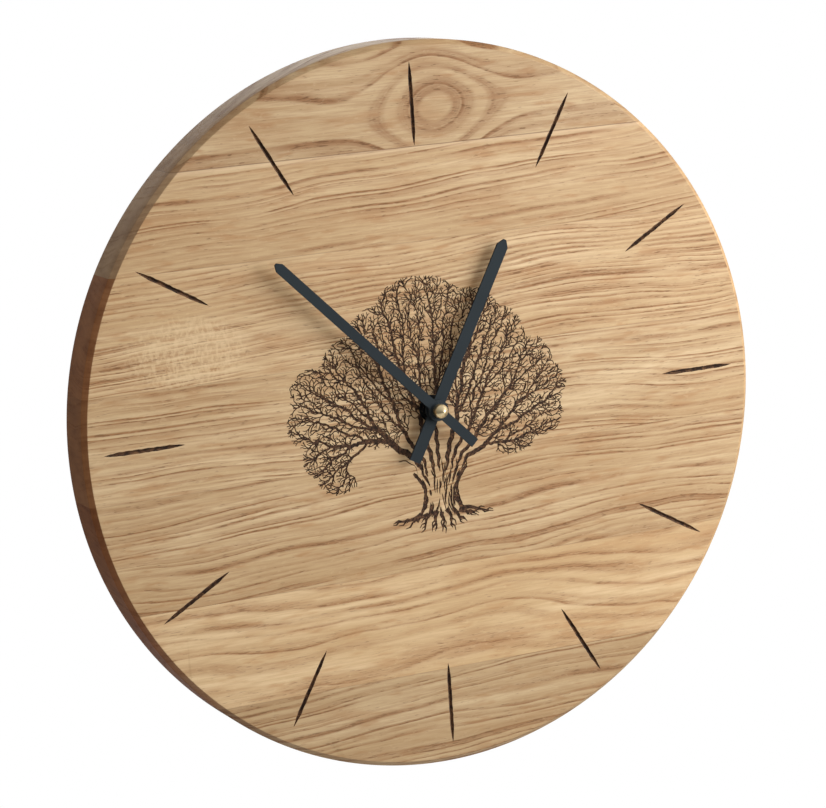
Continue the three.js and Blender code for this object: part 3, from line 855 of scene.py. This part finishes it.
def add_terraces(builder, found, levels, joints, chains):
    """Adds a split face whose triangles lie at their own depths, with the walls between them."""
    corners, faces, inside = found
    edge_levels = {}
    for face, inner in zip(faces, inside):
        level = levels(face, inner)
        if level is None:
            heights, kind = None, 0
        else:
            heights, kind = level
            builder.face([(*corners[i], heights[n]) for n, i in enumerate(face)], kind)
        for n, i in enumerate(face):
            m = (n + 1) % len(face)
            j = face[m]
            key = (min(i, j), max(i, j))
            ends = None
            if heights is not None:
                ends = (heights[n], heights[m]) if i < j else (heights[m], heights[n])
            edge_levels.setdefault(key, []).append((ends, kind))
    for (i, j), sides in edge_levels.items():
        a, b = corners[i], corners[j]
        if len(sides) == 2:
            (one, kind_one), (two, kind_two) = sides
            if one is None or two is None or one == two:
                continue
            builder.face([(*a, one[0]), (*b, one[1]), (*b, two[1]), (*a, two[0])], max(kind_one, kind_two))
        else:
            for joint in joints:
                if abs(a[1] - joint) < 1e-3 and abs(b[1] - joint) < 1e-3 and sides[0][0]:
                    ends = sides[0][0]
                    chains[joint].append(sorted([(a[0], ends[0]), (b[0], ends[1])]))


def chain_points(parts, height):
    """The line of a face along a joint, left to right, steps included."""
    points = []
    for a, b in sorted(parts):
        for u, w in (a, b):
            if not points or abs(points[-1][0] - u) > 1e-4 or abs(points[-1][2] - w) > 1e-4:
                points.append((u, height, w))
    return points


def make_stave(name, low, high, strokes, marks, materials):
    """One stave between two heights. Its materials are the wood, the burnt lines and the burnt marks."""
    builder = Builder()
    rings = edge_profile()
    joints = [joint for joint in (low, high) if abs(joint) < RADIUS - 1]

    # Front face: marks as V grooves, the drawing as shallow burnt grooves.
    right, left = stave_outline(rings[0][0], low, high)
    mine = [mark for mark in marks if max(p[1] for p in mark.outline()) > low
            and min(p[1] for p in mark.outline()) < high]
    drawn = [s for s in strokes if max(p[1] for p in s) > low and min(p[1] for p in s) < high]
    has_hole = low < 0 < high
    patches = [mark.outline() for mark in mine] + ([HOLE] if has_hole else [])
    found = triangles(right + left, patches, drawn, [mark.keel() for mark in mine])
    corners = found[0]

    def front_level(face, kind):
        if kind == 0:
            return [THICK] * 3, 0
        if kind <= len(mine):
            return [THICK - mine[kind - 1].depth(*corners[i]) for i in face], 2
        if has_hole and kind == len(patches):
            return None
        return [THICK - BURN_DEPTH] * 3, 1

    front_chains = {joint: [] for joint in joints}
    add_terraces(builder, found, front_level, joints, front_chains)

    # Back face: the pocket for the movement and the recess for the hanger.
    back_right, back_left = stave_outline(rings[-1][0], low, high)
    found_back = triangles(back_right + back_left, [POCKET, RECESS, HEAD_POCKET, HOLE])
    depths = (0.0, POCKET_DEEP, RECESS_DEEP, HEAD_POCKET_DEEP)

    def back_level(_, kind):
        return ([depths[kind]] * 3, 0) if kind < len(depths) else None

    back_chains = {joint: [] for joint in joints}
    add_terraces(builder, found_back, back_level, joints, back_chains)
    if has_hole:
        for a, b in zip(HOLE, HOLE[1:] + HOLE[:1]):
            builder.face([(*a, THICK), (*b, THICK), (*b, POCKET_DEEP), (*a, POCKET_DEEP)])

    # The round edge, as rings.
    loops = [stave_outline(radius, low, high) for radius, _ in rings]
    for (loop_a, (_, w_a)), (loop_b, (_, w_b)) in zip(zip(loops, rings), zip(loops[1:], rings[1:])):
        for part in (0, 1):
            one, two = loop_a[part], loop_b[part]
            if part == 1 and high >= RADIUS:
                one, two = [loop_a[0][-1]] + one, [loop_b[0][-1]] + two
            if part == 1 and low <= -RADIUS:
                one, two = one + [loop_a[0][0]], two + [loop_b[0][0]]
            for p, q, r, s in zip(one, one[1:], two, two[1:]):
                builder.face([(*p, w_a), (*q, w_a), (*s, w_b), (*r, w_b)])

    # The glued sides.
    for joint in joints:
        top = chain_points(front_chains[joint], joint)
        bottom = chain_points(back_chains[joint], joint)
        right_side, left_side = [], []
        for (_, w), (loop_right, _) in zip(rings[1:-1], loops[1:-1]):
            u = loop_right[0][0] if joint == low else loop_right[-1][0]
            right_side.append((u, joint, w))
            left_side.append((-u, joint, w))
        builder.face(top + right_side + bottom[::-1] + left_side[::-1])

    piece = builder.piece(name, materials, STAVE_SMOOTH)
    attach(piece, BODY)
    return piece


# each board's left end colour holds painted shade and light over the end grain's own darker colour: darkest
# on the lower boards as painted shade underneath, pale and greyish on the top boards as painted light from
# above
STAVES = [
    dict(name="stave_bottom", pith_v=-215, depth=40, pitch=3.3, slope=0.05, wave=2.0, tone=0.87,
         amber=0.5, left_end_ink_and_shade=(160, 108, 78)),
    dict(name="stave_lower", pith_v=-128, depth=10, pitch=6.8, slope=0.02, tilt=0.03, wave=3.6, tone=1.09,
         contrast=1.0, amber=0.4, left_end_ink_and_shade=(168, 116, 84)),
    dict(name="stave_low", pith_v=-128, depth=34, pitch=3.0, slope=0.04, wave=2.2, tone=0.96,
         contrast=1.25, amber=0.6, left_end_ink_and_shade=(187, 137, 103)),
    dict(name="stave_centre", pith_v=92, depth=24, pitch=2.6, slope=-0.03, wave=2.0, tone=0.98,
         contrast=1.2, amber=0.5, left_end_ink_and_shade=(204, 162, 134)),
    dict(name="stave_high", pith_v=-60, depth=40, pitch=2.3, slope=0.03, wave=1.6, tone=1.04,
         contrast=1.3, amber=0.45, left_end_ink_and_shade=(208, 164, 136), fleck_at=(-104, 36, 30, 17)),
    dict(name="stave_upper", pith_v=170, depth=26, pitch=2.5, slope=0.06, wave=2.2, tone=1.0,
         contrast=1.3, amber=0.5, pale_top=0.38, left_end_ink_and_shade=(232, 222, 222), glue=(0.3, 0.6)),
    dict(name="stave_top", pith_v=123, depth=13, pitch=5.0, slope=0.03, hump=12, hump_u=10, hump_long=21,
         wave=1.9, tone=0.90, amber=0.55, contrast=1.5, left_end_ink_and_shade=(236, 222, 214), glue=(0.6, 0.2)),
]


def build_dial():
    rng = random.Random(TREE_SEED)
    strokes = tree_strokes(rng)
    marks = [Mark(hour, rng) for hour in range(12)]
    burnt = [char("burnt_line", srgb(38, 27, 20), 3.0),
             char("burnt_mark", srgb(50, 36, 28), 8.0, 380.0, 0.06)]
    for number, facts in enumerate(STAVES):
        settings = dict(facts)
        name = settings.pop("name")
        wood = oak("oak_" + name, number * 17.0 + 5.0, JOINTS[number], JOINTS[number + 1], **settings)
        piece = make_stave("oak_" + name, JOINTS[number], JOINTS[number + 1], strokes, marks, [wood, *burnt])
        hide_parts(name)


# ---------------------------------------------------------------- the cap nut
CAP_SEGMENTS = 96
CAP_SMOOTH = 32.0


def build_cap():
    """The cap nut, turned about the hands' axis: a short skirt under a shallow cone with a rounded point."""
    profile = [(0, 30.8), (1.9, 30.8), (1.9, 27.4), (2.6, 27.4), (2.78, 27.48), (2.85, 27.65), (2.85, 29.7),
               (2.8, 29.95), (2.62, 30.2), (1.9, 30.95), (1.1, 31.75), (0.7, 32.1), (0.35, 32.3), (0, 32.36)]
    brass = turned_metal("turned_brass", srgb(251, 233, 190), 0.34, "y")
    builder = Builder()
    round_points = circle(1.0, CAP_SEGMENTS)
    for (r0, w0), (r1, w1) in zip(profile, profile[1:]):
        for (a, b), (c, d) in zip(round_points, round_points[1:] + round_points[:1]):
            builder.face([(r0 * a, r0 * b, w0), (r0 * c, r0 * d, w0),
                          (r1 * c, r1 * d, w1), (r1 * a, r1 * b, w1)])
    cap = builder.piece("brass_cap_nut", [brass], CAP_SMOOTH)
    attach(cap, "minute_group")
    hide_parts("cap_nut")


# ---------------------------------------------------------------- carried-over CAD nodes
NODE_SMOOTH = math.radians(35.0)


def dress(names, material, bevel=0.0, segments=2):
    """Gives CAD nodes a material, smooth shading and, where wanted, a fine rounded edge."""
    for name in names:
        node = NODES[name]
        node.data.materials.clear()
        node.data.materials.append(material)
        node.data.polygons.foreach_set("use_smooth", [True] * len(node.data.polygons))
        node.data.set_sharp_from_angle(angle=NODE_SMOOTH)
        if bevel:
            edge = node.modifiers.new("edge", "BEVEL")
            edge.width = bevel * MM
            edge.segments = segments
            edge.limit_method = "ANGLE"
            edge.angle_limit = NODE_SMOOTH
            edge.harden_normals = True
            edge.use_clamp_overlap = True


COATINGS = [  # nodes, bevel and its steps, then the material as coated() takes it
    (["minute_hand", "hour_hand"], 0.14, 3, "powder_coat", (30, 38, 43), 0.70, 5200.0, 0.00002, 0.06,
     dict(specular=0.22)),
    (["front_case"], 0.25, 2, "case_plastic", (22, 23, 25), 0.52, 3000.0, 0.00004, 0.08, {}),
    (["rear_cover", "coil_bobbin"], 0.2, 2, "cover_plastic", (28, 29, 31), 0.58, 2400.0, 0.00005, 0.08, {}),
    (["rubber_washer"], 0, 0, "washer_rubber", (18, 18, 18), 0.85, 1500.0, 0.00006, 0.12, {}),
    (["flat_washer", "hexagon_nut"], 0.15, 2, "blackened_steel", (40, 42, 45), 0.42, 2600.0, 0.00002, 0.12,
     dict(metallic=0.8)),
    (["hanger_plate", "hanger_screw_lower", "hanger_screw_upper"], 0.12, 2, "zinc_plate", (178, 182, 186),
     0.34, 900.0, 0.00003, 0.10, dict(metallic=0.95)),
    (["hour_wheel", "reversing_wheel", "seconds_wheel", "rotor_pinion", "set_knob"], 0, 0, "white_acetal",
     (226, 222, 210), 0.38, 1800.0, 0.00002, 0.04, {}),
    (["train_plate"], 0.1, 2, "train_plate_plastic", (208, 204, 192), 0.5, 2000.0, 0.00003, 0.05, {}),
    (["third_wheel", "intermediate_wheel", "drive_wheel"], 0, 0, "brown_acetal", (150, 98, 54),
     0.4, 1800.0, 0.00002, 0.06, {}),
    (["rotor_magnet"], 0, 0, "sintered_magnet", (74, 76, 80), 0.5, 3500.0, 0.00003, 0.1, dict(metallic=0.6)),
    (["control_chip"], 0, 0, "epoxy_blob", (12, 12, 13), 0.28, 900.0, 0.00003, 0.1, dict(coat=0.3)),
]
METALS = [  # nodes, bevel, then the material as turned_metal() takes it
    (["stator", "coil_core"], 0, "stamped_iron", (150, 153, 157), 0.36, "x"),
    (["crystal_can"], 0, "crystal_steel", (196, 198, 200), 0.2, "z"),
    (["positive_contact", "negative_contact"], 0.08, "contact_steel", (200, 202, 204), 0.24, "z"),
    (["battery_cap"], 0.08, "battery_steel", (204, 206, 208), 0.24, "x"),
    (["minute_cannon"], 0, "cannon_brass", (214, 180, 106), 0.28, "y"),
]


def dress_nodes():
    for names, bevel, segments, name, colour, *texture, more in COATINGS:
        dress(names, coated(name, srgb(*colour), *texture, **more), bevel, segments)
    for names, bevel, name, colour, roughness, axis in METALS:
        dress(names, turned_metal(name, srgb(*colour), roughness, axis), bevel)
    dress(["coil_winding"], wound_wire("copper_wire"))
    dress(["circuit_board"], board_face("board_mask"))
    dress(["battery"], battery_skin("battery_sleeve_print"))


# ---------------------------------------------------------------- stage, light and camera
FLOOR_HALF = 2.1
FLOOR_DROP = -1.4


def build_stage():
    """A plain pale floor, well below the clock."""
    mesh = bpy.data.meshes.new("floor")
    corners = [(-FLOOR_HALF, -FLOOR_HALF), (FLOOR_HALF, -FLOOR_HALF), (FLOOR_HALF, FLOOR_HALF),
               (-FLOOR_HALF, FLOOR_HALF)]
    mesh.from_pydata([(*corner, FLOOR_DROP) for corner in corners], [], [(0, 1, 2, 3)])
    floor = bpy.data.objects.new("floor", mesh)
    scene.collection.objects.link(floor)
    mesh.materials.append(coated("pale_floor", srgb(250, 250, 248), 0.8, 60.0, 0.0001, 0.01))


def area_light(name, place, size, power, colour=(1.0, 1.0, 1.0)):
    """A round soft light, aimed at the middle of the dial."""
    data = bpy.data.lights.new(name, "AREA")
    data.shape = "DISK"
    data.size = size
    data.energy = power
    data.color = colour
    light = bpy.data.objects.new(name, data)
    scene.collection.objects.link(light)
    light.location = place
    aim = Vector((0.0, -THICK * MM, -HOOK_RISE * MM)) - Vector(place)
    light.rotation_euler = aim.to_track_quat("-Z", "Y").to_euler()


def build_light():
    """A white surround that lights more from the upper right, a key at the right and two soft fills."""
    world = bpy.data.worlds.new("studio")
    scene.world = world
    world.use_nodes = True
    nodes, links = world.node_tree.nodes, world.node_tree.links
    nodes.clear()
    seen, lit = nodes.new("ShaderNodeBackground"), nodes.new("ShaderNodeBackground")
    seen.inputs["Color"].default_value = (1.0, 1.0, 1.0, 1.0)
    seen.inputs["Strength"].default_value = 1.0
    lit.inputs["Color"].default_value = (1.0, 0.965, 0.92, 1.0)
    way = nodes.new("ShaderNodeTexCoord")
    aim = nodes.new("ShaderNodeVectorMath")
    aim.operation = "DOT_PRODUCT"
    aim.inputs[1].default_value = (0.45, 0.0, 0.89)
    fall = nodes.new("ShaderNodeMapRange")
    for key, number in zip(RANGE_SOCKETS, (-0.88, 1.0, 0.0, 0.57)):
        fall.inputs[key].default_value = number
    links.new(way.outputs["Generated"], aim.inputs[0])
    links.new(aim.outputs["Value"], fall.inputs["Value"])
    links.new(fall.outputs["Result"], lit.inputs["Strength"])
    path, both = nodes.new("ShaderNodeLightPath"), nodes.new("ShaderNodeMixShader")
    out = nodes.new("ShaderNodeOutputWorld")
    links.new(path.outputs["Is Camera Ray"], both.inputs[0])
    links.new(lit.outputs[0], both.inputs[1])
    links.new(seen.outputs[0], both.inputs[2])
    links.new(both.outputs[0], out.inputs["Surface"])
    area_light("key", (0.66, -0.49, 0.11), 0.8, 10.5, (0.96, 0.985, 1.0))
    area_light("back", (0.5, 1.9, 0.3), 1.4, 13.0)
    area_light("fill", (0.5, -2.0, 0.5), 1.6, 6.5)
    scene.view_settings.view_transform = "Standard"


CAMERA_PLACE = (-0.5220, -1.1652, 0.1349)
CAMERA_RIGHT = (0.90552, -0.41928, -0.06510)
CAMERA_FORWARD = (0.40279, 0.89766, -0.17877)
SENSOR_WIDTH = 36.0
LENS = 136.3816


def build_camera():
    """The photograph's viewpoint: from the left and a little above, 1.3 m away."""
    place = Vector(CAMERA_PLACE)
    right = Vector(CAMERA_RIGHT).normalized()
    forward = Vector(CAMERA_FORWARD).normalized()
    up = right.cross(forward).normalized()
    right = forward.cross(up).normalized()
    camera_data = bpy.data.cameras.new("camera")
    camera_data.sensor_fit = "HORIZONTAL"
    camera_data.sensor_width = SENSOR_WIDTH
    camera_data.lens = LENS
    camera_data.clip_start = 0.05
    camera = bpy.data.objects.new("camera", camera_data)
    scene.collection.objects.link(camera)
    turn = Matrix((right, up, -forward)).transposed()
    camera.matrix_world = Matrix.Translation(place) @ turn.to_4x4()
    scene.camera = camera


build_dial()
build_cap()
dress_nodes()
build_stage()
build_light()
build_camera()
bpy.context.view_layer.update()
